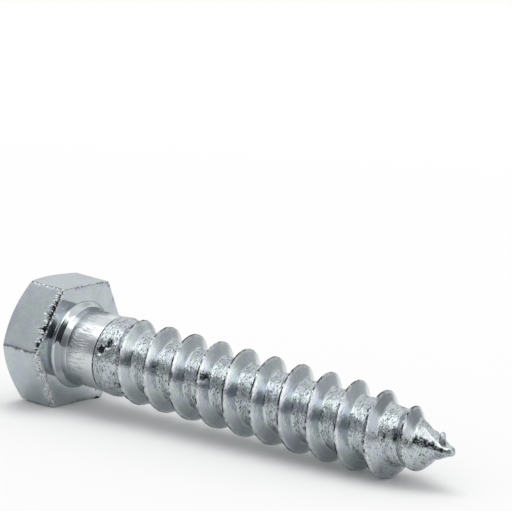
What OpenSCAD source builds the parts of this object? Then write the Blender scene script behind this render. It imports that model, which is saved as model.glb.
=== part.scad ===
// Hex head lag screw with a coarse rolled thread and a gimlet point.
// The screw is one forged and rolled piece of zinc plated steel. It lies as it comes to rest on a
// table: on the edge of its lowest flat and on the last deep crest of its thread.

/* [Head] */
// Width of the hexagon across its flats
head_across = 14; // [12:0.1:17]
// Height of the head from its underside to its top
head_h = 5.6; // [3.5:0.1:8]
// How far the round top face lies inside the flats
chamfer_inset = 0.35; // [0.1:0.05:1]
// Angle between the chamfer and the top face
chamfer_angle = 30; // [15:1:35]

/* [Collar and neck] */
// Diameter of the collar where it meets the underside of the head
collar_d = 10.2; // [9.6:0.1:11.4]
// Height of the collar's straight rim
rim_h = 0.15; // [0.05:0.05:0.4]
// Height at which the collar's hollow curve runs into the neck
collar_h = 1.4; // [0.8:0.1:2.5]
// Diameter of the plain neck
neck_d = 8.8; // [8:0.1:9.4]
// Length from the underside of the head to the start of the thread
neck_len = 5.5; // [3.5:0.1:12]

/* [Thread] */
// Diameter over the crests
thread_d = 9.5; // [8.6:0.1:11]
// Diameter at the root between the crests
root_d = 6.6; // [5.5:0.1:7.6]
// Distance from one crest to the next
pitch = 3.63; // [2.8:0.01:5]
// Angle between the two flanks of a crest
flank_angle = 60; // [40:1:66]
// Width of the rounded crest
crest_w = 0.55; // [0.3:0.05:0.8]
// How far the crest's two shoulders lie below its middle
crest_drop = 0.14; // [0.05:0.01:0.25]
// How far the rolled band at the start of the thread stands proud of the neck
band_step = 0.1; // [0.05:0.05:0.25]
// Turns over which the crest rises and the root sinks from that band
run_in = 1.5; // [0.5:0.1:2.5]
// Angle from the lowest flat to the start of the thread
start_angle = 75; // [0:1:359]

/* [Point] */
// Length from the underside of the head to the tip
screw_len = 50; // [35:0.5:80]
// Length of the tapered point
point_len = 8; // [5:0.1:10]
// Fullness of the point's outline, from 1 for a straight cone
point_curve = 1.65; // [1:0.05:2]
// Diameter of the blunt end of the tip
tip_d = 0.8; // [0.3:0.1:1.2]
// Length of the bare tip past the last turn
bare_len = 1.6; // [1:0.1:3]
// Turns over which the last crest fades out
run_out = 1.7; // [0.5:0.1:2.5]
// Turns of bare core between the end of the crest and the bare tip
bare_turns = 0.4; // [0:0.05:0.6]

/* [Hidden] */

// Sides of a round face
$fn = 96;
// Straight steps in one turn of the thread, and in the collar's curve
turn_steps = 48;
curve_steps = 8;

top_r = head_across / 2 - chamfer_inset;
collar_r = collar_d / 2;
neck_r = neck_d / 2;
crest_r = thread_d / 2;
root_r = root_d / 2;
band_r = neck_r + band_step;
tip_r = tip_d / 2;

// One turn's profile, as shares of the pitch and of the crest's height: the middle of the root, a
// flank, the rounded crest and the other flank
flank_run = (crest_r - root_r - crest_drop) * tan(flank_angle / 2) / pitch;
shoulder_run = crest_w / 2 / pitch;
shoulder = 1 - crest_drop / (crest_r - root_r);
along = [
    0,
    0.5 - shoulder_run - flank_run,
    0.5 - shoulder_run,
    0.5,
    0.5 + shoulder_run,
    0.5 + shoulder_run + flank_run
];
height = [0, 0, shoulder, 1, shoulder, 0];
profile_n = len(along);

// The thread is a row of such profiles, one for each step around the axis
columns = round(turn_steps * (1 + (screw_len - bare_len - neck_len) / pitch));
turns = columns / turn_steps;

// A smooth rise from 0 to 1
function ease(t) = let (c = min(1, max(0, t))) c * c * (3 - 2 * c);

// Share of the way from the band at the start to the full thread
function grown(turn) = ease((turn - 1) / run_in);

// Place along the axis. The first turn opens as a wedge from the full circle at the end of the neck,
// and the last turn closes as a wedge on the full circle where the bare tip starts
function place(turn, share) = neck_len + pitch * (max(0, turn - 1) + share * min(1, turn, turns - turn));

// Radius of the core, straight up to the point and then a full curve down to the tip
point_z = screw_len - point_len;
function core_r(z) = root_r - (root_r - tip_r) * pow(max(0, (z - point_z) / point_len), point_curve);

// Radius at the root, which sinks from the band as the thread starts and then follows the core
function valley_r(turn, share) =
    core_r(place(turn, share)) + (band_r - root_r) * (1 - grown(turn + share));

// Share of the crest's height that is left as it fades out on the point
function faded(turn) = min(1, max(0, (turns - bare_turns - turn) / run_out));

// Height of the crest over the root. It grows as the thread starts, and fades out on the point
function ridge_h(turn) = (crest_r - root_r) * grown(turn + 0.5) * faded(turn);

// Radius of the thread's surface
function thread_r(turn, share, rise) = valley_r(turn, share) + rise * ridge_h(turn);

// A point at a radius, a number of turns and a place along the axis
function around(r, turn, z) = let (angle = start_angle + 360 * turn) [r * cos(angle), r * sin(angle), z];

// One point of the thread's surface
function skin_point(turn, share, rise) = around(thread_r(turn, share, rise), turn, place(turn, share));

// Number of a point in the skin's list of points. The top of one turn is the foot of the next. The
// first and the last column are one point each, which the skin meets again a turn later
first_id = 0;
last_id = (columns - 1) * profile_n;
tip_ring_id = last_id + turn_steps;
foot_id = tip_ring_id + turn_steps;
tip_id = foot_id + 1;
function id(column, k) =
    k == profile_n ? id(column + turn_steps, 0) :
    column == 0 || (column == turn_steps && k == 0) ? first_id :
    column == columns + turn_steps ? last_id :
    column >= columns ? last_id + column - columns :
    (column - 1) * profile_n + k + (column < turn_steps ? 1 : 0);
function tip_ring(step) = tip_ring_id + step % turn_steps;

// The lowest points of the crest as the screw lies on its flat, and the angle at which it then leans
// down onto one of them from the edge of its head
low_turns = [for (turn = 1 - start_angle / 360; turn < turns; turn = turn + 1) turn];
lean = min([for (turn = low_turns) atan((head_across / 2 - thread_r(turn, 0.5, 1)) / place(turn, 0.5))]);

// Half way between the two ends of the leaning screw
middle = ((screw_len - head_h) * cos(lean) - top_r * sin(lean)) / 2;

// Hexagon with a flat towards +X, its top edge cut back by a cone
module head() {
    translate([0, 0, -head_h])
        intersection() {
            rotate([0, 0, 30])
                cylinder(h = head_h, r = head_across / 2 / cos(30), $fn = 6);
            cylinder(h = head_h, r1 = top_r, r2 = top_r + head_h / tan(chamfer_angle));
        }
}

// Turned outline of the collar and neck: a straight rim, then a hollow curve that runs into the neck
module neck() {
    curve_w = collar_r - neck_r;
    curve_h = collar_h - rim_h;
    curve = [for (i = [0 : curve_steps]) let (a = 90 * i / curve_steps)
        [collar_r - curve_w * sin(a), rim_h + curve_h * (1 - cos(a))]];
    rotate_extrude()
        polygon(concat(
            [[0, -head_h / 2], [collar_r, -head_h / 2]],
            curve,
            [[neck_r, neck_len], [0, neck_len]]
        ));
}

// Thread, core and point as one helical skin. Its foot is a cone sunk into the neck
module thread() {
    rows = [0 : profile_n - 1];
    ring = [0 : turn_steps - 1];
    inner_columns = [1 : columns - 2];
    points = concat(
        [skin_point(0, 0, 0)],
        [for (column = [1 : columns - 1]) for (k = rows) if (column != turn_steps || k > 0)
            skin_point(column / turn_steps, along[k], height[k])],
        [for (step = ring) skin_point(turns - 1 + step / turn_steps, 1, 0)],
        [for (step = ring) around(tip_r, turns + step / turn_steps, screw_len - tip_r / 2)],
        [[0, 0, neck_len - neck_r / 2], [0, 0, screw_len]]
    );
    foot = [for (step = ring) [foot_id, id(step, 0), id(step + 1, 0)]];
    opening = [for (k = rows) [first_id, id(1, k + 1), id(1, k)]];
    lower = [for (column = inner_columns) for (k = rows)
        [id(column, k), id(column, k + 1), id(column + 1, k + 1)]];
    upper = [for (column = inner_columns) for (k = rows)
        [id(column, k), id(column + 1, k + 1), id(column + 1, k)]];
    closing = [for (k = rows) [id(columns - 1, k), id(columns - 1, k + 1), last_id]];
    bare_lower = [for (step = ring) [id(columns + step, 0), tip_ring(step), tip_ring(step + 1)]];
    bare_upper = [for (step = ring) [id(columns + step, 0), tip_ring(step + 1), id(columns + step + 1, 0)]];
    tip = [for (step = ring) [tip_ring(step), tip_id, tip_ring(step + 1)]];
    polyhedron(points = points,
        faces = concat(foot, opening, lower, upper, closing, bare_lower, bare_upper, tip));
}

module hex_screw() {
    color([0.72, 0.74, 0.76])
        translate([-middle, 0, head_across / 2 * cos(lean)])
            rotate([0, 90 + lean, 0])
                union() {
                    head();
                    neck();
                    thread();
                }
}

hex_screw();
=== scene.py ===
"""Hex head lag screw of zinc plated steel, lying on a pale floor as it comes to rest.

The screw is one mesh: a turned grid for head, collar and neck and a helical skin for the thread and the
point, joined into one closed surface, and a small closed blade, the sliver, that is sunk into the point.
Shapes are worked out in millimetres in the screw's own frame, with the origin at the middle of the head's
underside, +z towards the tip and +x towards the lowest flat. Angles are in degrees about its axis, seen
from the lowest flat."""

import math

import bpy
import numpy as np
from mathutils import Matrix, Vector


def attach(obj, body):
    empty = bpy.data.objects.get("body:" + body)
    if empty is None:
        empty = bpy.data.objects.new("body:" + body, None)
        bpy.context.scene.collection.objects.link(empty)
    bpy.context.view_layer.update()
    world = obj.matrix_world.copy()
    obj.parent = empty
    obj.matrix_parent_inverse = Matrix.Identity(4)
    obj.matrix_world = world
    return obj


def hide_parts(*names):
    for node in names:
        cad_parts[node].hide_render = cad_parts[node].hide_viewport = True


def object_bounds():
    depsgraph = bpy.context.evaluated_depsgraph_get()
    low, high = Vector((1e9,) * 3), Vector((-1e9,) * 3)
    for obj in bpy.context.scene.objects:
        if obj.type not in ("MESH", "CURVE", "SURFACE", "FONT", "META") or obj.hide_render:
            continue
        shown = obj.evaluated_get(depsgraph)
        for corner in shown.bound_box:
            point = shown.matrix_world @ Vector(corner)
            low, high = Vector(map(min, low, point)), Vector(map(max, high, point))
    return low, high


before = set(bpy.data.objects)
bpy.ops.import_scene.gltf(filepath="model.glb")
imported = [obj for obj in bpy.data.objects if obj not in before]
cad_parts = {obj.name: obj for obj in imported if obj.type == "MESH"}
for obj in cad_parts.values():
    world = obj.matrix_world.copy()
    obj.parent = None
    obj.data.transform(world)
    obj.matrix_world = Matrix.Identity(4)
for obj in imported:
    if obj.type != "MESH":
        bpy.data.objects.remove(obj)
cad_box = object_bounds()

# Sizes of the screw, the same as its solid's
HEAD_ACROSS = 14.0
HEAD_H = 5.6
CHAMFER_INSET = 0.35
CHAMFER_ANGLE = 30
COLLAR_R = 5.1
RIM_H = 0.15
COLLAR_H = 1.4
NECK_R = 4.4
NECK_LEN = 5.5
CREST_R = 4.75
ROOT_R = 3.3
PITCH = 3.63
BAND_STEP = 0.1
RUN_IN = 1.5
START_ANGLE = 75
SCREW_LEN = 50.0
POINT_LEN = 8.0
POINT_CURVE = 1.65
TIP_R = 0.4
BARE_LEN = 1.6
RUN_OUT = 1.7
BARE_TURNS = 0.4
SOLID_TURN_STEPS = 48
TOP_R = HEAD_ACROSS / 2 - CHAMFER_INSET
BAND_R = NECK_R + BAND_STEP

# Steps of the grids: around the thread, around the head, and across one turn of the thread
TURN_STEPS = 2 * SOLID_TURN_STEPS
HEAD_STEPS = 5 * TURN_STEPS
ACROSS_STEPS = 44
COLUMNS = 2 * round(SOLID_TURN_STEPS * (1 + (SCREW_LEN - BARE_LEN - NECK_LEN) / PITCH))
TURNS = COLUMNS / TURN_STEPS

# Flats and corners of the head that carry their own marks
TORN_FLAT = 240
BEVELLED_FLAT = 300
TORN_CORNERS = (210, 270)
SOFT_CORNER = 30

# Sharpness of the hexagon's corners, as the power of a norm, and of the soft corner
CORNER_POWER = 90
SOFT_POWER = 55

# Rows of the head's grid: shares of the way out on the top, down the chamfer and in on the underside,
# insets and heights round the lower edge, and depths and distances from the neck's end in its sunk line
TOP_SHARES = (0.3, 0.6, 0.82, 0.95, 0.995)
CHAMFER_SHARES = (0.06, 0.35, 0.7, 0.97)
UNDER_SHARES = (0.2, 0.45, 0.7, 0.9, 0.985, 0.996)
LOWER_EDGE = ((0.02, 0.045), (0.06, 0.01), (0.14, 0))
SUNK_LINE = ((0.01, 0.24), (0.07, 0.17), (0.11, 0.08), (0.06, 0.02))
SIDE_SHARES = np.linspace(0.015, 1, 11)
FINE_SIDE_H = 1.4
FINE_SIDE = np.linspace(1.33, 0.1, 19)
NECK_ROWS = np.linspace(COLLAR_H + 0.06, NECK_LEN - 0.3, 18)

# The collar's hollow: its rows and its outline, as shares of its height and of its width
HOLLOW_ROWS = np.array([0.03, 0.1, 0.18, 0.26, 0.32, 0.37, 0.42, 0.48, 0.58, 0.7, 0.85, 1])
HOLLOW_ALONG = (0, 0.33, 0.45, 1)
HOLLOW_INWARD = (0, 0.70, 0.80, 1)
HOLLOW_BEND = 0.06

# Depths of the relief on the head
GROOVE_DEEP = 0.26
BEVEL_DEEP = 0.09
FLUTE_DEEP = 0.13
CUT_SLOPE = 0.7
CUT_INWARD = 0.32
FLASH_H = 0.4

# Outline of one turn of the thread, as shares of the pitch and of the crest's height: a straight flank
# towards the head, a narrow crest and a wider flank towards the tip
PROFILE_ALONG = (0, 0.215, 0.432, 0.46, 0.487, 0.72, 0.76, 1)
PROFILE_HEIGHT = (0, 0, 0.95, 1.0, 0.965, 0.06, 0, 0)
PROFILE_BEND = 0.014
CREST_AT = 0.46
SHADE_LINE_AT = round(0.47 * ACROSS_STEPS)
FOLD_AT = 0.735

# Pits from the rolling: angle, place along the axis, half length around, half length along, depth
PITS = (
    (251, 6.2, 0.60, 0.46, 0.36),
    (239, 6.95, 0.60, 0.26, 0.28),
    (246, 6.55, 0.24, 0.16, 0.20),
    (247, 20.3, 0.62, 0.34, 0.18),
    (253, 13.3, 0.32, 0.18, 0.12),
    (258, 16.25, 0.45, 0.14, 0.12),
    (294, 18.6, 0.30, 0.15, 0.12),
    (252, 35.5, 0.40, 0.12, 0.10),
    (257, 43.2, 0.45, 0.18, 0.14),
    (251, 44.35, 0.60, 0.20, 0.14),
    (333, 46.2, 0.25, 0.20, 0.10),
    (332, 48.3, 0.30, 0.16, 0.20),
    (224, 48.62, 0.42, 0.09, 0.10),
)

# Flat left by the cutter on the point: its angle, where it starts, and how near the axis it comes
FACET_ANGLE = 216
FACET_START = 45.5
FACET_SHARE = 0.93

# Painted highlight mid-flat and painted dark reflection under it: places along the axis, angles and half
# widths
HIGHLIGHT_ALONG, HIGHLIGHT_ANGLES = (46, 48.7), (213, 235)
HIGHLIGHT_HALF_ALONG, HIGHLIGHT_HALF = (45.9, 48.7), (24, 5)
DARK_REFLECTION_ALONG, DARK_REFLECTION_ANGLES = (46.2, 47.15, 48.3, 49.2), (247, 242, 245, 254)
DARK_REFLECTION_WIDE_ALONG, DARK_REFLECTION_WIDE = (46.2, 47.2, 49.2), (0.58, 0.44, 0.17)

# Sides of the point: the one that is drawn in, the thinner one, and those that are rubbed rough, brushed
# and smeared
DRAWN_ANGLE = 158
THIN_ANGLE = 350
RUBBED_ANGLE = 310
BRUSHED_ANGLE = 325
SMEARED_ANGLE = 320

# Sliver that stands on the point: its foot, its top, the way that it is wide, and half its two widths
SLIVER_FOOT = np.array([-0.35, -0.70, 48.9])
SLIVER_TOP = np.array([-1.92, 0.03, 48.32])
SLIVER_WAY = np.array([-0.22, 0.28, 0.93])
SLIVER_WIDE = 0.42
SLIVER_THICK = 0.09
SLIVER_BEND = 0.3

# What each point of the surface is marked as: rough from rolling, torn, dark (partly painted shade and
# painted dark reflections), a worn edge, polished and painted highlights, and dulled plate and painted
# shade
MARKS = ("root", "torn", "dark", "edge", "polish_and_highlight", "dull_and_shade")
SLIVER_MARKS = {"root": 0.2, "torn": 0, "dark": 0.15, "edge": 0.5, "polish_and_highlight": 0, "dull_and_shade": 0.75}

# Random fields that make the relief and the marks uneven: size of a cell, and seed
LATTICE = 64
FIELDS = {
    "tooth": (0.13, 3),
    "groove": (0.6, 4),
    "bevel": (0.3, 5),
    "flute": (0.16, 6),
    "cut_width": (0.45, 7),
    "cut_depth": (0.22, 8),
    "corner": (0.28, 10),
    "pit": (0.25, 11),
    "rim": (0.8, 12),
    "root_lump": (0.62, 21),
    "root_crumb": (0.3, 22),
    "flank": (0.9, 23),
    "crest": (0.5, 24),
    "fold_long": (1.7, 25),
    "fold_short": (0.6, 26),
    "crest_shade_line": (0.4, 27),
    "fold_lip": (0.7, 28),
    "dark_reflection_width": (0.35, 29),
    "foot": (0.7, 30),
    "tip": (0.5, 31),
    "crest_highlight": (0.6, 32),
    "dark_reflection": (0.25, 33),
    "smear": (0.4, 34),
}


def ease(t):
    """Smooth rise from 0 to 1 as t goes from 0 to 1: 3t^2 - 2t^3."""
    c = np.clip(t, 0, 1)
    return c * c * (3 - 2 * c)


def bell(off, width):
    """Bell curve: 1 where off is 0, and 1/e at a width to either side."""
    return np.exp(-((off / width) ** 2))


def mottle(points, name):
    """Smooth random field from -1 to 1: a random number at each corner of a cubic lattice of the field's
    cell size, blended across each cell by eased shares."""
    cell, seed = FIELDS[name]
    table = np.random.default_rng(seed).uniform(-1, 1, (LATTICE, LATTICE, LATTICE))
    scaled = points / cell
    low = np.floor(scaled).astype(int)
    share = ease(scaled - low)
    total = np.zeros(points.shape[:-1])
    for corner in np.ndindex(2, 2, 2):
        weight = np.prod(np.where(np.array(corner, bool), share, 1 - share), axis=-1)
        index = (low + corner) % LATTICE
        total += weight * table[index[..., 0], index[..., 1], index[..., 2]]
    return total


def turned(radius, angle, along):
    """Points at a radius, an angle about the axis and a place along it."""
    a = np.radians(angle)
    return np.stack(np.broadcast_arrays(radius * np.cos(a), radius * np.sin(a), along), axis=-1)


def apart(angle, centre):
    """Angle from a centre, from -180 to 180."""
    return (angle - centre + 180) % 360 - 180


def within(angle, centre, half, soft):
    """1 about a centre, easing to 0 over the last soft degrees before a half angle to either side."""
    return ease((half - np.abs(apart(angle, centre))) / soft)


def on_line(place_at):
    """Points on a straight line, for a random field that changes along it alone."""
    return np.stack([place_at, 0 * place_at, 0 * place_at], axis=-1)


def pitted(points):
    """Depth and darkness of the pits and a painted highlight on their rims: each is a ragged bowl, deepest
    where the squared distance from its middle, in half lengths, is least."""
    radius = np.hypot(points[..., 0], points[..., 1])
    angle = np.degrees(np.arctan2(points[..., 1], points[..., 0]))
    ragged = 1 + 0.8 * mottle(points, "pit")
    depth, shade, rim = np.zeros((3,) + radius.shape)
    for centre, along, half_around, half_along, deep in PITS:
        around = np.radians(apart(angle, centre)) * radius / half_around
        far = ragged * (around**2 + ((points[..., 2] - along) / half_along) ** 2)
        depth = depth + deep * bell(far, 1)
        shade = np.maximum(shade, min(0.54, 0.36 + 0.7 * deep) * ease(1.6 - far))
        # Painted highlight on each pit's rim
        rim = np.maximum(rim, min(1, 4 * deep) * ease(2.6 - far) * ease(far - 0.9))
    return depth, shade, rim


# The thread, as the solid has it
def grown(turn):
    """Share of the way from the plain band at the start to the full thread."""
    return ease((turn - 1) / RUN_IN)


def place(turn, share):
    """Place along the axis. The first turn opens as a wedge from the circle at the end of the neck, and
    the last closes as a wedge on the circle where the bare tip starts."""
    open_share = np.minimum(1, np.minimum(turn, TURNS - turn))
    return NECK_LEN + PITCH * (np.maximum(0, turn - 1) + share * open_share)


def core_r(along):
    """Radius of the core: straight, then a full curve down to the tip over the length of the point."""
    drawn = np.clip((along - SCREW_LEN + POINT_LEN) / POINT_LEN, 0, 1) ** POINT_CURVE
    return ROOT_R - (ROOT_R - TIP_R) * drawn


def valley_r(turn, share):
    """Radius at the root, which sinks from the band and then follows the core."""
    return core_r(place(turn, share)) + (BAND_R - ROOT_R) * (1 - grown(turn + share))


def ridge_h(turn):
    """Height of the crest over the root, which grows at the start and fades out on the point."""
    faded = np.clip((TURNS - BARE_TURNS - turn) / RUN_OUT, 0, 1)
    return (CREST_R - ROOT_R) * grown(turn + 0.5) * faded


def rise(share):
    """Share of the crest's height across one turn: the turn's outline, with every corner softened by the
    mean over a short stretch."""
    stretch = np.linspace(-PROFILE_BEND, PROFILE_BEND, 7)
    return np.interp(share[..., None] + stretch, PROFILE_ALONG, PROFILE_HEIGHT).mean(axis=-1)


# Head, collar and neck
def hex_r(angle, power):
    """Radius of a hexagon with rounded corners: half the width across flats over the norm of the cosines
    to the six flats. A lower power of the norm gives a rounder corner."""
    to_flats = np.maximum(np.cos(np.radians(angle[..., None] - 60 * np.arange(6))), 1e-6)
    norm = (to_flats ** power[..., None]).sum(axis=-1) ** (1 / power)
    return HEAD_ACROSS / 2 / norm


def side_r(angle, along):
    """Outline of the head at a place along the axis, with one corner rounder towards the underside."""
    near = bell(apart(angle, SOFT_CORNER), 14) * ease(1 + along / 2.5)
    return hex_r(angle, CORNER_POWER - (CORNER_POWER - SOFT_POWER) * near)


def collar_hollow():
    """Radius and place along the axis in the collar's hollow: a short cone and then a long gentle slope,
    with the bend between them softened by the mean over a short stretch."""
    stretch = np.linspace(-HOLLOW_BEND, HOLLOW_BEND, 7) * ease((1 - HOLLOW_ROWS) / 0.1)[:, None]
    softened = HOLLOW_ROWS[:, None] + stretch
    inward = np.interp(softened, HOLLOW_ALONG, HOLLOW_INWARD).mean(axis=-1)
    return COLLAR_R - (COLLAR_R - NECK_R) * inward, RIM_H + (COLLAR_H - RIM_H) * HOLLOW_ROWS


def head_rows(angle, upper, lower):
    """Radius and place along the axis of each row from the middle of the head's top to the end of the
    neck, from the head's outlines at its top and at its underside."""
    flat = np.ones(HEAD_STEPS)
    chamfer = -HEAD_H + (upper - TOP_R) * math.tan(math.radians(CHAMFER_ANGLE))
    inner = lower - LOWER_EDGE[-1][0]
    rows = [(share * TOP_R * flat, -HEAD_H * flat) for share in TOP_SHARES]
    for share in CHAMFER_SHARES:
        rows.append((TOP_R + (upper - TOP_R) * share, -HEAD_H + (chamfer + HEAD_H) * share))
    for along in [chamfer + (-FINE_SIDE_H - chamfer) * share for share in SIDE_SHARES]:
        rows.append((side_r(angle, along), along))
    for below in FINE_SIDE:
        rows.append((side_r(angle, -below * flat), -below * flat))
    rows += [(lower - inset, -below * flat) for inset, below in LOWER_EDGE]
    rows += [(inner * (1 - share) + COLLAR_R * share, 0 * flat) for share in UNDER_SHARES]
    rows += [(COLLAR_R * flat, along * flat) for along in (0.03, RIM_H - 0.04)]
    rows += [(radius * flat, along * flat) for radius, along in zip(*collar_hollow())]
    rows += [(NECK_R * flat, along * flat) for along in NECK_ROWS]
    rows += [((NECK_R - sunk) * flat, (NECK_LEN - up) * flat) for sunk, up in SUNK_LINE]
    return np.array([row[0] for row in rows]), np.array([row[1] for row in rows])


def torn_edge(angles, below, on_side):
    """Lower edge of the torn flat: a groove under a row of uneven teeth, with a fluted bevel above it.
    Returns the place along the edge, the shares of groove and bevel, and the flutes."""
    torn_at = HEAD_ACROSS / 2 * np.tan(np.radians(np.clip(apart(angles, TORN_FLAT), -40, 40)))
    on_torn = on_side * within(angles, TORN_FLAT, 31, 3)
    edge_line = on_line(torn_at)
    deep = 0.14 + 0.22 * bell(torn_at + 0.9, 1.7)
    teeth = 0.5 * np.maximum(0, mottle(edge_line, "tooth")) ** 1.5
    bite = deep + teeth + 0.06 * mottle(edge_line, "groove")
    groove = on_torn * ease((bite - below) / 0.09) * ease((below - 0.02) / 0.07)
    bevel = on_torn * ease((bite + 0.55 + 0.25 * mottle(edge_line, "bevel") - below) / 0.5)
    return torn_at, groove, bevel, mottle(edge_line, "flute")


def head_and_neck():
    """Grid of head, collar and neck: the turned rows, cut back by the torn edge, the uneven bevel, the
    worn corners and the pits, and swollen by the flash at the soft corner. Returns the points and their
    marks."""
    angle = START_ANGLE + 360 / HEAD_STEPS * np.arange(HEAD_STEPS)
    upper = side_r(angle, np.full(HEAD_STEPS, -HEAD_H))
    lower = side_r(angle, np.zeros(HEAD_STEPS))
    radius, along = head_rows(angle, upper, lower)
    angles = np.broadcast_to(angle, radius.shape)
    points = turned(radius, angles, along)
    below = -along
    on_side = (radius > upper * 0.9) & (below < HEAD_H - 0.3) & (below > 0.005)
    under = np.abs(along) < 0.004
    by_thread = along > NECK_LEN - 1

    torn_at, groove, bevel, flute = torn_edge(angles, below, on_side)
    radius = radius - GROOVE_DEEP * groove - bevel * (BEVEL_DEEP + FLUTE_DEEP * flute)

    # The bevelled edge is cut back unevenly, on the flat and on the underside
    on_bevel = within(angles, BEVELLED_FLAT, 30.5, 2)
    cut = on_bevel * on_side * np.clip(0.82 + 0.2 * mottle(points, "cut_width") - below, 0, 1)
    radius = radius - CUT_SLOPE * cut * (1 + 0.35 * mottle(points, "cut_depth"))
    ring = on_bevel * under * (radius > COLLAR_R + 0.05)
    radius = radius - CUT_INWARD * ring * np.clip((radius - COLLAR_R) / (lower - COLLAR_R), 0, 1)

    # The corners beside the torn flat are worn, and so is the lower rim away from both rough edges
    corner = np.zeros(radius.shape)
    for middle in TORN_CORNERS:
        reach = np.radians(np.abs(apart(angles, middle))) * radius
        corner = np.maximum(corner, on_side * bell(reach, 0.15))
    radius = radius - corner * (0.02 + 0.03 * mottle(points, "corner"))
    worn_rim = (on_side & (below < 0.25)) | (under & (radius > lower - 0.35))
    plain = ease((np.abs(apart(angles, (TORN_FLAT + BEVELLED_FLAT) / 2)) - 60) / 4)
    corner = np.maximum(corner, 0.75 * worn_rim * plain * ease(0.55 + mottle(points, "rim")))

    depth, shade, _ = pitted(points)
    radius = radius - depth * by_thread

    # Dark: painted shade in the groove and between the flutes, a painted shadow at the soft corner's lip,
    # the neck's sunk line and the pits
    torn = np.maximum.reduce([bevel, 2.5 * cut, 0.9 * ring * (radius > lower - 0.7)])
    gap = 0.6 * bevel * ease(0.1 - 1.6 * flute)
    lip = 0.75 * (on_side | under) * (radius > lower - 0.45) * ease((0.5 - below) / 0.4)
    lip = lip * bell(apart(angles, SOFT_CORNER - 4), 4)
    line = (along > NECK_LEN - 0.26) * 0.52
    dark = np.maximum.reduce([groove, gap, lip, line, shade * by_thread])

    # Bright: painted highlights on the flutes towards both ends of the torn edge and on the collar's rim;
    # the cut, the line where the torn flat meets the underside, the neck, and the hollow outside its
    # stretch of painted shade
    lit = 0.2 + 0.8 * bell(torn_at - 1.7, 1.5) + 0.8 * bell(torn_at + 3.6, 0.5)
    polish_and_highlight = bevel * (1 - groove) * lit * ease(0.2 + 1.5 * flute) + 2.2 * cut
    rim = (along > 0.02) & (along < RIM_H + 0.01)
    lip_line = (below < 0.06) & (radius > lower - 0.3) & (np.abs(apart(angles, TORN_FLAT)) < 30)
    polish_and_highlight = np.clip(polish_and_highlight + rim + lip_line + 0.65 * ease((along - 1.2) / 0.4), 0, 1)
    # Painted shade darkens one stretch around the hollow, where a dark reflection falls; the rest of the
    # hollow is a little paler
    in_hollow = ease((along - RIM_H) / 0.1) * ease((COLLAR_H - along) / 0.1)
    dull_and_shade = in_hollow * within(angles, 275, 36, 14)
    polish_and_highlight = np.maximum(polish_and_highlight, 0.35 * in_hollow * (1 - dull_and_shade))

    # The flash swells from the soft corner towards the tip
    swollen = FLASH_H * bell(apart(angles, SOFT_CORNER), 10) * ease((radius - 6.2) / 1.2)
    swollen = swollen * ease(1 - below) * (along < 0.01)
    marks = {"root": 0 * torn, "torn": np.clip(torn, 0, 1), "dark": np.clip(dark, 0, 1),
             "edge": corner, "polish_and_highlight": polish_and_highlight, "dull_and_shade": dull_and_shade}
    return turned(radius, angles, along + swollen), marks


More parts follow.
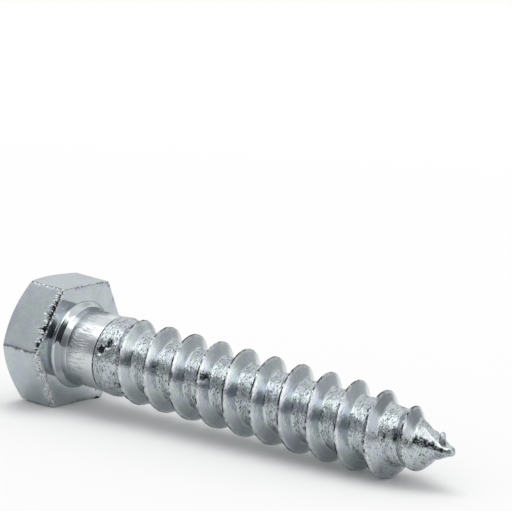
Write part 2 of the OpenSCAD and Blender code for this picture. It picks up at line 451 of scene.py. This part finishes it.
# Thread and point
def thread_and_point():
    """Helical skin of the thread: columns around the axis by steps across one turn, with the root's radius
    plus the rise of the crest. A wavy fold parts the smooth flank from the rough root, which is sunk a
    little, and a painted shade line runs along the crest. Returns the points and their marks."""
    turn = np.arange(COLUMNS + 1)[:, None] / TURN_STEPS
    share = np.arange(ACROSS_STEPS + 1)[None, :] / ACROSS_STEPS
    height = rise(share)
    ridge = ridge_h(turn)
    stands = ease(ridge)
    along = place(turn, share)
    angle = START_ANGLE + 360 * turn + 0 * share
    low_side = 0.2 * ease((along - 38.5) / 3) * bell(apart(angle, 150), 55)
    radius = valley_r(turn, share) + height * ridge * (1 - low_side)
    points = turned(radius, angle, along)
    across = 0 * radius + share

    # The root is rough from the fold on to the foot of the next flank, and so is the band at the start
    wave = on_line(20 * turn)
    fold = FOLD_AT + 0.03 * mottle(wave, "fold_long") + 0.015 * mottle(wave, "fold_short")
    past_fold = ease((across - fold) / 0.03)
    started = np.where(share > CREST_AT, ease((turn - 0.95) / 0.2), ease((turn - 1.9) / 0.2))
    kept = started * ease((TURNS - 1 - turn) / 0.7)
    root = np.maximum.reduce([past_fold, ease((0.22 - across) / 0.06), 1 - started])
    root = root + (0.5 - root) * (1 - ease(ridge / 0.5)) * ease((along - 40) / 2)
    rough = 0.045 * mottle(points, "root_lump") + 0.03 * mottle(points, "root_crumb")
    sunk = 0.05 * kept * past_fold * ease((1 - across) / 0.12)
    radius = radius - sunk + root * rough + (1 - root) * 0.012 * mottle(points, "flank")
    crest = ease((height - 0.8) / 0.2)
    radius = radius - crest * stands * 0.05 * np.maximum(0, mottle(points, "crest"))
    depth, shade, rim = pitted(points)
    radius = radius - depth

    # A painted shade line two steps wide runs along the top of the crest, with a painted highlight beside
    # it
    from_shade_line = np.arange(ACROSS_STEPS + 1) - SHADE_LINE_AT
    crest_shade_line = (np.abs(from_shade_line + 0.5) < 1) * stands * ease(0.5 + 1.3 * mottle(points, "crest_shade_line"))
    crest_highlight = (np.abs(from_shade_line - 1.5) < 1) * stands * ease(0.6 + mottle(points, "crest_highlight"))
    # Painted shade in the root at the foot of the next flank
    foot = ease((across - 0.1) / 0.06) * ease((0.34 - across) / 0.08) * stands
    foot = foot * ease(0.65 + mottle(points, "foot")) * kept
    # Painted highlight along the lip of the fold
    lip = bell(across - fold + 0.02, 0.018) * kept * ease(0.4 + mottle(points, "fold_lip"))
    # Painted shade on one side of the last flanks, where their highlight would fall
    flank = ease((across - 0.48) / 0.03) * ease((fold - across) / 0.03) * stands
    dull_and_shade = flank * ease((along - 40) / 1.2) * within(angle, 215, 62, 20)
    dark = np.maximum.reduce([shade, 0.75 * crest_shade_line, 0.42 * foot])
    # Bright: painted highlights on the fold's lip, beside the crest and on the pits' rims
    polish_and_highlight = np.maximum.reduce([0.85 * lip, crest_highlight, rim])
    marks = {"root": root, "torn": 0 * root, "dark": dark,
             "edge": 0.5 * crest * stands, "polish_and_highlight": polish_and_highlight, "dull_and_shade": dull_and_shade}
    return pointed(radius, angle, along, marks)


def pointed(radius, angle, along, marks):
    """Works the cutter's marks into the point: a flat, one side drawn in, and a thinner side that is
    rubbed and smeared. The flat gets a painted highlight in its middle and a ragged painted dark
    reflection under it. Returns the points and their marks."""
    points = turned(radius, angle, along)
    beside = np.cos(np.radians(apart(angle, FACET_ANGLE)))
    on_point = ease((along - FACET_START) / 1.2) * ease((SCREW_LEN - 0.4 - along) / 0.4)
    on_flat = on_point * (beside > 0.6)
    cut = FACET_SHARE * core_r(along) / np.maximum(beside, 0.3)
    radius = radius - on_flat * np.maximum(0, radius - cut)
    radius = radius * (1 - 0.13 * on_point * bell(apart(angle, DRAWN_ANGLE), 45))
    thinned = ease((along - 47.1) / 0.8) * bell(apart(angle, THIN_ANGLE), 50)
    radius = radius - thinned * np.minimum(0.32, 0.36 * radius)

    # Painted highlight in the middle of the flat, and a ragged painted dark reflection under it
    half = np.interp(along, HIGHLIGHT_HALF_ALONG, HIGHLIGHT_HALF)
    off_bright = np.abs(apart(angle, np.interp(along, HIGHLIGHT_ALONG, HIGHLIGHT_ANGLES)))
    bright = on_flat * ease((half - off_bright) / 5 + 0.5)
    off = np.radians(apart(angle, np.interp(along, DARK_REFLECTION_ALONG, DARK_REFLECTION_ANGLES))) * radius
    width = np.interp(along, DARK_REFLECTION_WIDE_ALONG, DARK_REFLECTION_WIDE)
    width = width * (1 + 0.6 * mottle(points, "dark_reflection_width"))
    reach = ease((along - 45.8) / 0.4) * ease((49.4 - along) / 0.4)
    dark_reflection = reach * ease(1.6 - np.abs(off) / width) * (0.46 + 0.12 * mottle(points, "dark_reflection"))
    rubbed = 0.8 * ease((along - 44) / 1.5) * within(angle, RUBBED_ANGLE, 70, 25)
    brushed = 0.5 * ease((along - 40) / 1.5) * within(angle, BRUSHED_ANGLE, 80, 25)
    smeared = 0.9 * ease((along - 47.6) / 1.4) * within(angle, SMEARED_ANGLE, 85, 30)
    marks["root"] = np.maximum.reduce([marks["root"] * (1 - 0.5 * bright), rubbed, brushed])
    # The painted dark reflection goes into the dark mark and the painted highlight into the bright one
    marks["dark"] = np.maximum(marks["dark"], dark_reflection)
    marks["polish_and_highlight"] = np.maximum(marks["polish_and_highlight"], bright * (1 - ease(3 * dark_reflection)))
    marks["dull_and_shade"] = np.maximum(marks["dull_and_shade"], smeared * ease(0.8 + mottle(points, "smear")))
    return turned(radius, angle, along), marks


def bare_tip():
    """Rings of the bare tip past the thread: the core's curve, then a blunt rounded end. Returns the
    points and their marks."""
    start = NECK_LEN + PITCH * (TURNS - 1)
    along = np.linspace(start, SCREW_LEN - TIP_R / 2, 20)[1:]
    radius = core_r(along)
    radius[-1] = TIP_R
    along = np.append(along, [SCREW_LEN - 0.09, SCREW_LEN - 0.02])
    radius = np.append(radius, [TIP_R * 0.72, TIP_R * 0.36])
    angle = START_ANGLE + 360 * (TURNS + np.arange(TURN_STEPS) / TURN_STEPS)
    radius, angle, along = np.broadcast_arrays(radius[:, None], angle[None, :], along[:, None])
    radius = radius * (1 + 0.06 * mottle(turned(radius, angle, along), "tip"))
    marks = {name: np.zeros(radius.shape) for name in MARKS}
    marks["root"] = marks["root"] + 0.6
    return pointed(radius, angle, along, marks)


def sliver():
    """Sliver that the cutter left standing on the point: a thin rounded blade of rings from foot to top,
    bent more the nearer they are to its middle. Returns the points of its rings and of its two ends."""
    up = SLIVER_TOP - SLIVER_FOOT
    thick = np.cross(up, SLIVER_WAY)
    share = np.linspace(0.03, 0.97, 14)[:, None, None]
    turn = np.radians(np.arange(0, 360, 20))[None, :, None]
    swell = np.sqrt(1 - (2 * share - 1) ** 4) * (1.1 - 0.4 * share)
    bend = SLIVER_BEND * share * (1 - share)
    rings = SLIVER_FOOT + share * up + swell * SLIVER_WIDE * np.cos(turn) * SLIVER_WAY
    rings = rings + (swell * SLIVER_THICK * np.sin(turn) - bend) * thick
    return rings, np.stack([SLIVER_FOOT, SLIVER_TOP])


# The whole screw
def numbered(first, grid):
    """Numbers of a grid's points in the mesh, from a first number on."""
    return first + np.arange(grid.size // 3).reshape(grid.shape[:2])


def strip(lower, upper):
    """Two triangles for each step between two closed rings of the same number of points."""
    low_next, up_next = np.roll(lower, -1, axis=-1), np.roll(upper, -1, axis=-1)
    first = np.stack([lower, low_next, up_next], axis=-1)
    second = np.stack([lower, up_next, upper], axis=-1)
    return np.concatenate([first.reshape(-1, 3), second.reshape(-1, 3)])


def helix_faces(skin_id):
    """Two triangles for each step of the helical skin."""
    a, b = skin_id[:-1, :-1], skin_id[:-1, 1:]
    c, d = skin_id[1:, 1:], skin_id[1:, :-1]
    return np.concatenate([np.stack([a, c, b], axis=-1), np.stack([a, d, c], axis=-1)]).reshape(-1, 3)


def fan_faces(fine_ring, ring):
    """Triangles between the fine ring at the end of the neck and the skin's coarser ring: each fine step
    goes to the nearest coarse point, and one more triangle fills each coarse step."""
    fine = np.append(fine_ring, fine_ring[0])
    step = HEAD_STEPS // TURN_STEPS
    part = np.arange(HEAD_STEPS)
    coarse = np.where(part % step < step / 2, part // step, part // step + 1) % TURN_STEPS
    fan = np.stack([fine[part], fine[part + 1], ring[coarse]], axis=-1)
    turn_at = np.arange(TURN_STEPS) * step + (step + 1) // 2
    fill = np.stack([fine[turn_at], np.roll(ring, -1), ring], axis=-1)
    return np.concatenate([fan, fill])


def whole_screw():
    """Joins the grids: pole, head and neck, a fan from the fine ring at the end of the neck to the skin's
    ring, the skin, the bare tip and its pole as one closed surface, and the sliver as another. Returns
    the points, the triangles and the points' marks."""
    head, head_marks = head_and_neck()
    skin, skin_marks = thread_and_point()
    tip, tip_marks = bare_tip()
    blade, blade_ends = sliver()
    poles = np.array([[0, 0, -HEAD_H], [0, 0, SCREW_LEN]])
    grids = [grid.reshape(-1, 3) for grid in (head, skin, tip, blade, blade_ends)]
    points = np.concatenate([poles] + grids)
    head_id = numbered(len(poles), head)
    skin_id = numbered(head_id.max() + 1, skin)
    tip_id = numbered(skin_id.max() + 1, tip)
    blade_id = numbered(tip_id.max() + 1, blade)
    blade_foot = blade_id.max() + 1 + 0 * blade_id[0]

    # The last step of a turn is the first step of the next, and both wedges end in one point
    skin_id[:-TURN_STEPS, -1] = skin_id[TURN_STEPS:, 0]
    first, last = skin_id[0, 0], skin_id[-1, 0]
    skin_id[0, :] = first
    skin_id[TURN_STEPS, 0] = first
    skin_id[-1, :] = last
    skin_id[-1 - TURN_STEPS, -1] = last

    end_ring = np.append(skin_id[-1 - TURN_STEPS, -1], skin_id[-TURN_STEPS:-1, -1])
    top = np.stack([np.zeros(HEAD_STEPS, int), np.roll(head_id[0], -1), head_id[0]], axis=-1)
    bottom = np.stack([tip_id[-1], np.roll(tip_id[-1], -1), np.ones(TURN_STEPS, int)], axis=-1)
    faces = np.concatenate([
        top,
        strip(head_id[:-1], head_id[1:]),
        fan_faces(head_id[-1], skin_id[:TURN_STEPS, 0]),
        helix_faces(skin_id),
        strip(end_ring, tip_id[0]),
        strip(tip_id[:-1], tip_id[1:]),
        bottom,
        strip(blade_foot, blade_id[0]),
        strip(blade_id[:-1], blade_id[1:]),
        strip(blade_id[-1], blade_foot + 1),
    ])
    # Triangles with two corners in one point go, and so do points that no triangle uses
    whole = (faces[:, 0] != faces[:, 1]) & (faces[:, 1] != faces[:, 2]) & (faces[:, 2] != faces[:, 0])
    used, index = np.unique(faces[whole], return_inverse=True)
    marks = {}
    for name in MARKS:
        of_grids = [grid[name].ravel() for grid in (head_marks, skin_marks, tip_marks)]
        of_blade = np.full(blade.size // 3 + len(blade_ends), SLIVER_MARKS[name])
        marks[name] = np.concatenate([[0, 0], *of_grids, of_blade])[used]
    return points[used], index.reshape(-1, 3), marks


def resting():
    """Angle at which the screw leans from the edge of its head down onto its lowest crest, and how far its
    middle and its axis lie from the origin: the same sums as the solid's."""
    turn = np.arange(1 - START_ANGLE / 360, TURNS, 1)
    crest = valley_r(turn, 0.5) + ridge_h(turn)
    lean = np.arctan((HEAD_ACROSS / 2 - crest) / place(turn, 0.5)).min()
    middle = ((SCREW_LEN - HEAD_H) * math.cos(lean) - TOP_R * math.sin(lean)) / 2
    return lean, Vector((-middle, 0, HEAD_ACROSS / 2 * math.cos(lean)))


LEAN, SEAT = resting()
LAID = Matrix.Rotation(math.radians(90) + LEAN, 3, "Y")
MM_PER_M = 1000


# Shader maths as Python expressions
class Wire:
    """A socket of a shader tree. Sums, products and other operators on it add Math nodes."""

    def __init__(self, tree, socket):
        self.tree = tree
        self.socket = socket

    def math(self, operation, *values):
        settings = {"operation": operation}
        return node(self.tree, "ShaderNodeMath", settings, dict(enumerate(values)))

    def __add__(self, other):
        return self.math("ADD", self, other)

    def __sub__(self, other):
        return self.math("SUBTRACT", self, other)

    def __rsub__(self, other):
        return self.math("SUBTRACT", other, self)

    def __mul__(self, other):
        return self.math("MULTIPLY", self, other)

    def __truediv__(self, other):
        return self.math("DIVIDE", self, other)

    def __pow__(self, other):
        return self.math("POWER", self, other)

    __radd__ = __add__
    __rmul__ = __mul__

    def most(self, other):
        return self.math("MAXIMUM", self, other)

    def between(self, low, high):
        """Smooth rise from 0 at low to 1 at high, or a fall where low is the larger."""
        span = {"Value": self, "From Min": min(low, high), "From Max": max(low, high)}
        ends = {"To Min": float(low > high), "To Max": float(low < high)}
        settings = {"interpolation_type": "SMOOTHSTEP"}
        return node(self.tree, "ShaderNodeMapRange", settings, {**span, **ends})


def node(tree, kind, settings=None, inputs=None, output=0):
    """Adds a node, sets its settings, then gives its sockets their values or links."""
    made = tree.nodes.new(kind)
    for name, value in (settings or {}).items():
        setattr(made, name, value)
    for name, value in (inputs or {}).items():
        if isinstance(value, Wire):
            tree.links.new(value.socket, made.inputs[name])
        else:
            made.inputs[name].default_value = value
    return Wire(tree, made.outputs[output]) if made.outputs else None


def blend(share, low, high):
    """Colour between two colours."""
    return node(share.tree, "ShaderNodeMix", {"data_type": "RGBA"}, {0: share, 6: low, 7: high}, 2)


def noise(where, scale, detail=2.0, roughness=0.5):
    """Noise from 0 to 1 with that many features to the millimetre."""
    sockets = {"Vector": where, "Scale": scale, "Detail": detail, "Roughness": roughness}
    return node(where.tree, "ShaderNodeTexNoise", {}, sockets)


def parts(where):
    """The three coordinates of a vector."""
    return [node(where.tree, "ShaderNodeSeparateXYZ", {}, {"Vector": where}, name) for name in "XYZ"]


def joined(x, y, z):
    """A vector of three coordinates."""
    return node(z.tree, "ShaderNodeCombineXYZ", {}, {"X": x, "Y": y, "Z": z})


def new_material(name):
    """An empty material, its tree, and the Object coordinates in it."""
    material = bpy.data.materials.new(name)
    material.use_nodes = True
    tree = material.node_tree
    tree.nodes.clear()
    return material, tree, node(tree, "ShaderNodeTexCoord", {}, {}, "Object")


def finish_material(tree, shader):
    """Gives a material's surface its shader."""
    node(tree, "ShaderNodeOutputMaterial", {}, {"Surface": shader})


# Colours of the zinc plate; the last three also serve for painted shade, painted highlights and painted
# dark reflections
GREY_DIM = (0.452, 0.498, 0.522, 1)
GREY_PALE = (0.532, 0.58, 0.60, 1)
GREENISH = (0.48, 0.56, 0.535, 1)
LILAC = (0.48, 0.50, 0.575, 1)
SPECKLED = (0.36, 0.39, 0.41, 1)
DULLED_AND_SHADED = (0.29, 0.315, 0.34, 1)
POLISHED_AND_HIGHLIGHT = (0.76, 0.78, 0.79, 1)
BLACK_AND_SHADED = (0.035, 0.037, 0.042, 1)


def zinc_plate():
    """Bright zinc plate: blue-grey metal, cloudy and finely grained on the smooth forged faces, rough,
    pitted and streaked along the thread in the rolled roots, and rougher in torn and dark places. Its
    colour also takes painted shade, painted dark reflections and painted highlights from the marks."""
    material, tree, objects = new_material("zinc_plate")
    back = LAID.inverted()
    to_own = {"Scale": (MM_PER_M,) * 3, "Rotation": back.to_euler(), "Location": back @ (-SEAT)}
    own = node(tree, "ShaderNodeMapping", {}, {"Vector": objects, **to_own})
    x, y, z = parts(own)
    radius = (x * x + y * y + 0.01) ** 0.5
    root, torn, dark, edge, polish_and_highlight, dull_and_shade = (
        node(tree, "ShaderNodeAttribute", {"attribute_name": name}, {}, "Fac") for name in MARKS)

    # Where along the axis each finish is
    on_neck = z.between(1.4, 2.2) * z.between(5.2, 3.4)
    on_collar = z.between(0.1, 0.25) * z.between(1.5, 1.3)
    on_thread = z.between(5.4, 6.0)
    burnished = z.between(-0.1, -0.02) * z.between(1.3, 1.0)
    brushed = z.between(1.2, 1.5) * z.between(5.5, 5.2)
    satin = z.between(-0.02, -0.3) * (1 - torn.most(edge).between(0.0, 0.4))

    # Grain drawn out around the axis, short ticks along the neck, and turned grooves on the collar
    drawn = joined(x, y, z * 3.2)
    lump = noise(drawn, 1.1, 3.0, 0.6)
    crumb = noise(drawn, 3.0, 2.0, 0.6)
    tick = noise(joined(x * 8, y * 8, z * 0.8), 1.0, 1.0)
    groove = noise(joined(radius * 5, 0.0, z * 5), 1.4, 1.0)

    # Clouds, tints, grain and specks that run no special way
    cloud = noise(own, 0.45, 3.0)
    tint = noise(own, 0.8)
    grain = noise(own, 7.0, 3.0, 0.6)
    spot = noise(own, 3.2)
    fine = noise(own, 4.5, 3.0, 0.65)
    fleck = node(tree, "ShaderNodeTexVoronoi", {}, {"Vector": own, "Scale": 1.7}, "Distance")
    speck = fleck.between(0.12, 0.05) * cloud.between(0.42, 0.6)
    pock = crumb.between(0.44, 0.38) * lump.between(0.62, 0.45)

    worn = root.most(torn)
    # Black: the dark mark, with its painted shade and painted dark reflections, and real specks, pocks,
    # worn spots, torn grain and neck ticks
    black = (1.5 * dark - fine).between(0.0, 0.25)
    for mask in (
        speck * 0.5,
        worn * pock * 0.9,
        edge * spot.between(0.54, 0.46) * 0.85,
        torn * fine.between(0.45, 0.38) * 0.75,
        on_neck * tick.between(0.60, 0.70) * 0.38,
    ):
        black = black.most(mask)
    # Bright: the polish and painted highlights, and real worn lumps and spots
    bright = polish_and_highlight * 0.8
    for mask in (
        worn * lump.between(0.45, 0.7) * 0.3,
        worn * crumb.between(0.60, 0.68) * 0.6,
        edge * spot.between(0.58, 0.66) * 0.6,
    ):
        bright = bright.most(mask)

    colour = blend(cloud.between(0.3, 0.7), GREY_DIM, GREY_PALE)
    for share, tone in (
        (tint.between(0.5, 0.62) * 0.8, GREENISH),
        (tint.between(0.5, 0.38) * 0.8, LILAC),
        (fine.between(0.5, 0.3) * 0.6, SPECKLED),
        (dull_and_shade * 0.9, DULLED_AND_SHADED),
        (bright, POLISHED_AND_HIGHLIGHT),
        (black, BLACK_AND_SHADED),
    ):
        colour = blend(share, colour, tone)
    rough = 0.13 - 0.09 * burnished + 0.045 * brushed + 0.16 * satin + 0.06 * cloud
    rough = rough + worn * 0.1 + torn * 0.15 + black * 0.2
    height = 0.0015 * grain + on_thread * (0.022 * lump + 0.01 * crumb)
    height = height + worn * (0.09 * lump + 0.045 * crumb - 0.015 * pock)
    height = height + on_neck * 0.018 * tick.between(0.5, 0.7) + on_collar * 0.012 * groove
    height = height + torn * 0.04 * grain + (edge + dark) * 0.05 * fine
    relief = {"Height": height, "Strength": 1.0, "Distance": 1 / MM_PER_M}
    bump = node(tree, "ShaderNodeBump", {}, relief, "Normal")
    sockets = {"Base Color": colour, "Roughness": rough, "Metallic": 1.0, "Normal": bump}
    finish_material(tree, node(tree, "ShaderNodeBsdfPrincipled", {}, sockets))
    return material


def white_paper():
    """Matt white paper that keeps the shadow near the screw. Further out it is plain white to the camera
    and to reflections."""
    material, tree, objects = new_material("white_paper")
    x, y, _ = parts(objects)
    far = ((x * x + y * y) ** 0.5).between(0.06, 0.3)
    camera, glossy, transmission = (
        node(tree, "ShaderNodeLightPath", {}, {}, name)
        for name in ("Is Camera Ray", "Is Glossy Ray", "Is Transmission Ray"))
    sockets = {"Base Color": (0.93, 0.93, 0.93, 1), "Roughness": 1.0, "Specular IOR Level": 0.0}
    paper = node(tree, "ShaderNodeBsdfPrincipled", {}, sockets)
    white = node(tree, "ShaderNodeEmission", {}, {"Color": (1, 1, 1, 1), "Strength": 1.0})
    seen = far * camera.most(glossy).most(transmission)
    finish_material(tree, node(tree, "ShaderNodeMixShader", {}, {0: seen, 1: paper, 2: white}))
    return material


# Light of the tent's parts
WALL_LOW = (0.55, 0.56, 0.57, 1)
WALL_HIGH = (0.84, 0.85, 0.86, 1)
BACK_LOW = (0.67, 0.68, 0.68, 1)
BACK_HIGH = (1.2, 1.21, 1.22, 1)
LOW_END = (0.32, 0.33, 0.34, 1)
CEILING = (1.0, 1.01, 1.02, 1)
LONG_LIGHT = (2.15, 2.15, 2.15, 1)
END_LIGHT = (1.65, 1.65, 1.65, 1)
DIM_FRONT = (0.38, 0.39, 0.41, 1)
DARK_ROOM = (0.055, 0.057, 0.06, 1)


def tent_cloth():
    """Light tent that metal reflects. Pale walls grow brighter to the back and overhead, a long soft light
    runs over the screw, another stands at its tip end, the front is dim and its middle opens on a dark
    room."""
    material, tree, objects = new_material("tent_cloth")
    x, y, up = parts(node(tree, "ShaderNodeVectorMath", {"operation": "NORMALIZE"}, {0: objects}))
    steep = (y * y + up * up + 0.001) ** 0.5
    level = (x * x + y * y + 0.001) ** 0.5
    back = y * 0.75 - x * 0.62 + up * 0.2
    ceiling = (up + y * 0.1) / steep
    over = (up * 0.94 - y * 0.34) / steep
    end = x * 0.94 + y * 0.05 + up * 0.28
    front = (x * 0.17 - y * 0.985) / level + 0.1 - 0.5 * up
    room = x * 0.707 - y * 0.596 + up * 0.375
    light = blend(up.between(0.3, 0.95), WALL_LOW, WALL_HIGH)
    for share, tone in (
        (back.between(0.4, 0.9), blend(up.between(0.15, 0.5), BACK_LOW, BACK_HIGH)),
        (up.between(0.2, 0.02) * x.between(0.3, 0.6), LOW_END),
        (ceiling.between(0.72, 0.93), CEILING),
        (over.between(0.92, 0.985) * x.between(-0.85, -0.45), LONG_LIGHT),
        (end.between(0.87, 0.97) * up.between(0.04, 0.2), END_LIGHT),
        (front.between(0.2, 0.45) * up.between(0.62, 0.42), DIM_FRONT),
        (room.between(0.81, 0.935), DARK_ROOM),
    ):
        light = blend(share, light, tone)
    finish_material(tree, node(tree, "ShaderNodeEmission", {}, {"Color": light, "Strength": 1.0}))
    return material


# Pieces, stage, light and camera
def mesh_object(name, points, faces, material):
    """A smooth-shaded mesh from arrays of points in metres and of faces."""
    mesh = bpy.data.meshes.new(name)
    mesh.from_pydata(points.tolist(), [], faces.tolist())
    mesh.polygons.foreach_set("use_smooth", np.ones(len(faces), bool))
    mesh.materials.append(material)
    mesh.update()
    made = bpy.data.objects.new(name, mesh)
    bpy.context.scene.collection.objects.link(made)
    return made


def make_screw():
    """The screw, laid down in the frame of its solid, in metres, with its marks as attributes."""
    points, faces, marks = whole_screw()
    laid = (points @ np.array(LAID).T + np.array(SEAT)) / MM_PER_M
    low, high = np.array(cad_box[0]), np.array(cad_box[1])
    screw = mesh_object("screw", np.clip(laid, low, high), faces, zinc_plate())
    for name, mark in marks.items():
        layer = screw.data.attributes.new(name, "FLOAT", "POINT")
        layer.data.foreach_set("value", mark.astype(np.float32))
    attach(screw, "root")
    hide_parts("hex_screw")


# The camera, as the photograph sees the screw: its place, where it looks, its turn and its lens
CAMERA_PLACE = Vector((0.134801, -0.191381, 0.062259))
CAMERA_TARGET = CAMERA_PLACE + 0.24 * Vector((-0.562102, 0.808438, -0.174557))
CAMERA_ROLL = 3.3676
CAMERA_LENS = 154.36


def make_camera():
    """The camera, aimed at its target and then turned about its own line of sight."""
    data = bpy.data.cameras.new("camera")
    data.lens = CAMERA_LENS
    data.clip_start, data.clip_end = 0.01, 20
    camera = bpy.data.objects.new("camera", data)
    aim = (CAMERA_TARGET - CAMERA_PLACE).to_track_quat("-Z", "Y").to_matrix()
    turn = Matrix.Rotation(math.radians(CAMERA_ROLL), 3, "Z")
    camera.matrix_world = Matrix.Translation(CAMERA_PLACE) @ (aim @ turn).to_4x4()
    bpy.context.scene.collection.objects.link(camera)
    bpy.context.scene.camera = camera


FLOOR_HALF = 3
TENT_R = 0.9
TENT_STEPS = (24, 48)
WORLD_LIGHT = 0.77


def make_floor():
    """One large square of paper."""
    corners = FLOOR_HALF * np.array([[-1, -1, 0], [1, -1, 0], [1, 1, 0], [-1, 1, 0]], float)
    floor = mesh_object("floor", corners, np.array([[0, 1, 2, 3]]), white_paper())


def make_tent():
    """A dome around the screw that only reflections see: a radius carried over lift and turn."""
    up_steps, round_steps = TENT_STEPS
    lifts, turns = np.linspace(0, 90, up_steps + 1), np.linspace(0, 360, round_steps + 1)
    lift, turn = (np.radians(grid) for grid in np.meshgrid(lifts, turns, indexing="ij"))
    level = np.cos(lift)
    points = TENT_R * np.stack([level * np.cos(turn), level * np.sin(turn), np.sin(lift)], axis=-1)
    ids = numbered(0, points)
    faces = np.stack([ids[:-1, :-1], ids[1:, :-1], ids[1:, 1:], ids[:-1, 1:]], axis=-1)
    tent = mesh_object("light_tent", points.reshape(-1, 3), faces.reshape(-1, 4), tent_cloth())
    tent.visible_camera = False
    tent.visible_diffuse = False
    tent.visible_transmission = False
    tent.visible_shadow = False


def make_lamp(name, place_at, size, watts):
    """A soft round lamp that points at the origin and that reflections don't show."""
    data = bpy.data.lights.new(name, "AREA")
    data.shape = "DISK"
    data.size = size
    data.energy = watts
    lamp = bpy.data.objects.new(name, data)
    aim = (-Vector(place_at)).to_track_quat("-Z", "Y").to_matrix().to_4x4()
    lamp.matrix_world = Matrix.Translation(place_at) @ aim
    lamp.visible_glossy = False
    bpy.context.scene.collection.objects.link(lamp)


def make_world():
    """Plain white light from all around."""
    world = bpy.data.worlds.new("white_room")
    world.use_nodes = True
    background = world.node_tree.nodes["Background"]
    background.inputs["Color"].default_value = (1, 1, 1, 1)
    background.inputs["Strength"].default_value = WORLD_LIGHT
    bpy.context.scene.world = world


make_camera()
make_world()
make_floor()
make_tent()
make_lamp("overhead", place_at=(-0.05, 0.05, 0.75), size=0.6, watts=1.9)
make_screw()
bpy.context.scene.view_settings.view_transform = "Standard"
